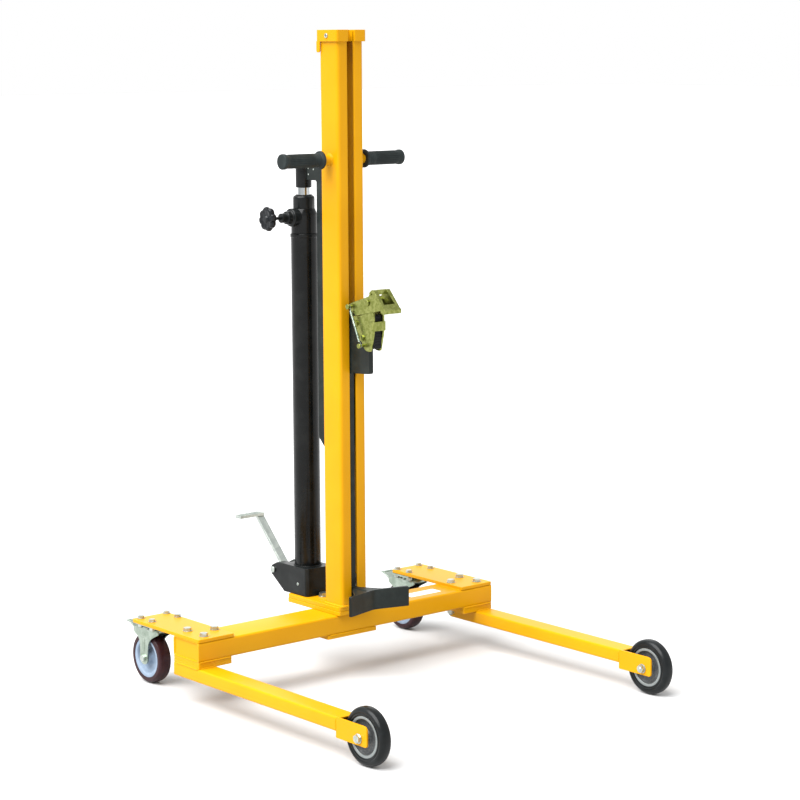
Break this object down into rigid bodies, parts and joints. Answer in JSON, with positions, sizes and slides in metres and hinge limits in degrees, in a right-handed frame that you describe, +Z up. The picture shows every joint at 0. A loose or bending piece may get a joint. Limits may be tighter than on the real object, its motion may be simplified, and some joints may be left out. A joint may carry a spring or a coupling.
{
  "type": "drum lifter",
  "caption": "Foot-pump hydraulic drum lifter: U-shaped wheeled base, slotted mast, sliding carriage with V cradle and beak rim gripper, cylinder behind the mast.",
  "frame": {"origin": "on the floor under the middle of the object's overall box", "axes": "+Z up, -Y towards the drum, +X to the right when looking along +Y from the drum side"},
  "size_m": [0.8868, 0.9934, 1.484],
  "materials": {
    "frame_paint": "yellow powder coat",
    "zinc": "bright zinc plate",
    "gold_zinc": "yellow passivated zinc plate",
    "black_paint": "semi-gloss black paint",
    "chrome": "hard chrome",
    "iron": "grey paint with a machined rim edge",
    "rubber": "moulded black rubber",
    "grip": "moulded soft rubber",
    "tread": "dark maroon polyurethane",
    "caster_core": "moulded blue-grey plastic",
    "knob": "phenolic"
  },
  "bodies": {
    "frame": {"crossbeam": "frame_paint", "leg_left": "frame_paint", "leg_right": "frame_paint", "clamp_plate": "frame_paint", "caster_mount_left": "frame_paint", "caster_mount_right": "frame_paint", "foot_plate_lower": "frame_paint", "foot_plate_upper": "frame_paint", "base_bolts": "zinc", "caster_bolts": "zinc", "front_axles": "zinc", "caster_plate_left": "zinc", "caster_plate_right": "zinc", "mast_left": "frame_paint", "mast_right": "frame_paint", "mast_cap": "frame_paint", "cap_screws": "zinc", "handle_bars": "frame_paint", "grip_left": "grip", "grip_right": "grip", "pump_base": "black_paint", "cylinder_tube": "black_paint", "cylinder_head": "black_paint", "gland_nut": "black_paint", "valve_body": "black_paint", "pedal_pin": "zinc"},
    "lift": {"lift_plate": "black_paint", "drum_cradle": "black_paint", "roller_axles": "zinc", "cheek_left": "gold_zinc", "cheek_right": "gold_zinc", "cheek_spacers": "zinc", "gripper_bolts": "gold_zinc", "gripper_strap": "gold_zinc", "gripper_pad": "rubber", "gripper_pins": "gold_zinc", "beak_springs": "zinc", "piston_rod": "chrome", "piston": "zinc", "rod_head": "black_paint"},
    "beak": {"beak": "gold_zinc", "beak_spring_pin": "gold_zinc"},
    "rollers_upper": {"rollers_upper": "zinc"},
    "rollers_lower": {"rollers_lower": "zinc"},
    "pedal": {"pedal_lever": "zinc"},
    "plunger": {"pump_plunger": "zinc"},
    "release": {"release_stem": "black_paint", "release_knob": "knob"},
    "swivel_left": {"caster_fork_left": "zinc"},
    "caster_wheel_left": {"caster_rim_left": "caster_core", "caster_tread_left": "tread"},
    "brake_left": {"caster_brake_left": "zinc"},
    "front_wheel_left": {"wheel_rim_left": "iron", "tyre_left": "rubber"},
    "swivel_right": {"caster_fork_right": "zinc"},
    "caster_wheel_right": {"caster_rim_right": "caster_core", "caster_tread_right": "tread"},
    "brake_right": {"caster_brake_right": "zinc"},
    "front_wheel_right": {"wheel_rim_right": "iron", "tyre_right": "rubber"}
  },
  "joints": [
    {"name": "lift_slide", "type": "slide", "parent": "frame", "child": "lift", "axis": [0, 0, 1], "range_m": [0, 0.5]},
    {"name": "upper_rollers", "type": "hinge", "parent": "lift", "child": "rollers_upper", "pos_m": [0, 0.14775, 0.826], "axis": [1, 0, 0], "range_deg": [0, 1043.7]},
    {"name": "lower_rollers", "type": "hinge", "parent": "lift", "child": "rollers_lower", "pos_m": [0, 0.14775, 0.2075], "axis": [1, 0, 0], "range_deg": [-1043.7, 0]},
    {"name": "beak_hinge", "type": "hinge", "parent": "lift", "child": "beak", "pos_m": [0, 0.03525, 0.8795], "axis": [1, 0, 0], "range_deg": [0, 25], "stiffness_Nm_per_rad": 1.5, "springref_deg": -11.46},
    {"name": "pedal_hinge", "type": "hinge", "parent": "frame", "child": "pedal", "pos_m": [0, 0.37575, 0.216], "axis": [-1, 0, 0], "range_deg": [0, 35], "stiffness_Nm_per_rad": 1.5, "springref_deg": -34.38},
    {"name": "plunger_slide", "type": "slide", "parent": "frame", "child": "plunger", "axis": [0, 0, 1], "range_m": [0, 0.0102]},
    {"name": "release_turn", "type": "hinge", "parent": "frame", "child": "release", "pos_m": [0, 0.29075, 1.058], "axis": [1, 0, 0], "range_deg": [0, 270]},
    {"name": "swivel_turn_left", "type": "hinge", "parent": "frame", "child": "swivel_left", "pos_m": [-0.382, 0.35375, 0.06], "axis": [0, 0, 1], "continuous": true},
    {"name": "caster_spin_left", "type": "hinge", "parent": "swivel_left", "child": "caster_wheel_left", "pos_m": [-0.382, 0.38775, 0.06], "axis": [1, 0, 0], "continuous": true},
    {"name": "brake_press_left", "type": "hinge", "parent": "swivel_left", "child": "brake_left", "pos_m": [-0.382, 0.41975, 0.122], "axis": [-1, 0, 0], "range_deg": [0, 14]},
    {"name": "front_spin_left", "type": "hinge", "parent": "frame", "child": "front_wheel_left", "pos_m": [-0.41, -0.43425, 0.0625], "axis": [1, 0, 0], "continuous": true},
    {"name": "swivel_turn_right", "type": "hinge", "parent": "frame", "child": "swivel_right", "pos_m": [0.382, 0.35375, 0.06], "axis": [0, 0, 1], "continuous": true},
    {"name": "caster_spin_right", "type": "hinge", "parent": "swivel_right", "child": "caster_wheel_right", "pos_m": [0.382, 0.38775, 0.06], "axis": [1, 0, 0], "continuous": true},
    {"name": "brake_press_right", "type": "hinge", "parent": "swivel_right", "child": "brake_right", "pos_m": [0.382, 0.41975, 0.122], "axis": [-1, 0, 0], "range_deg": [0, 14]},
    {"name": "front_spin_right", "type": "hinge", "parent": "frame", "child": "front_wheel_right", "pos_m": [0.41, -0.43425, 0.0625], "axis": [1, 0, 0], "continuous": true}
  ],
  "couplings": [
    {"joint": "upper_rollers", "follows": "lift_slide", "rad_per_m": 36.364},
    {"joint": "lower_rollers", "follows": "lift_slide", "rad_per_m": -36.364},
    {"joint": "plunger_slide", "follows": "pedal_hinge", "m_per_rad": 0.0165}
  ]
}
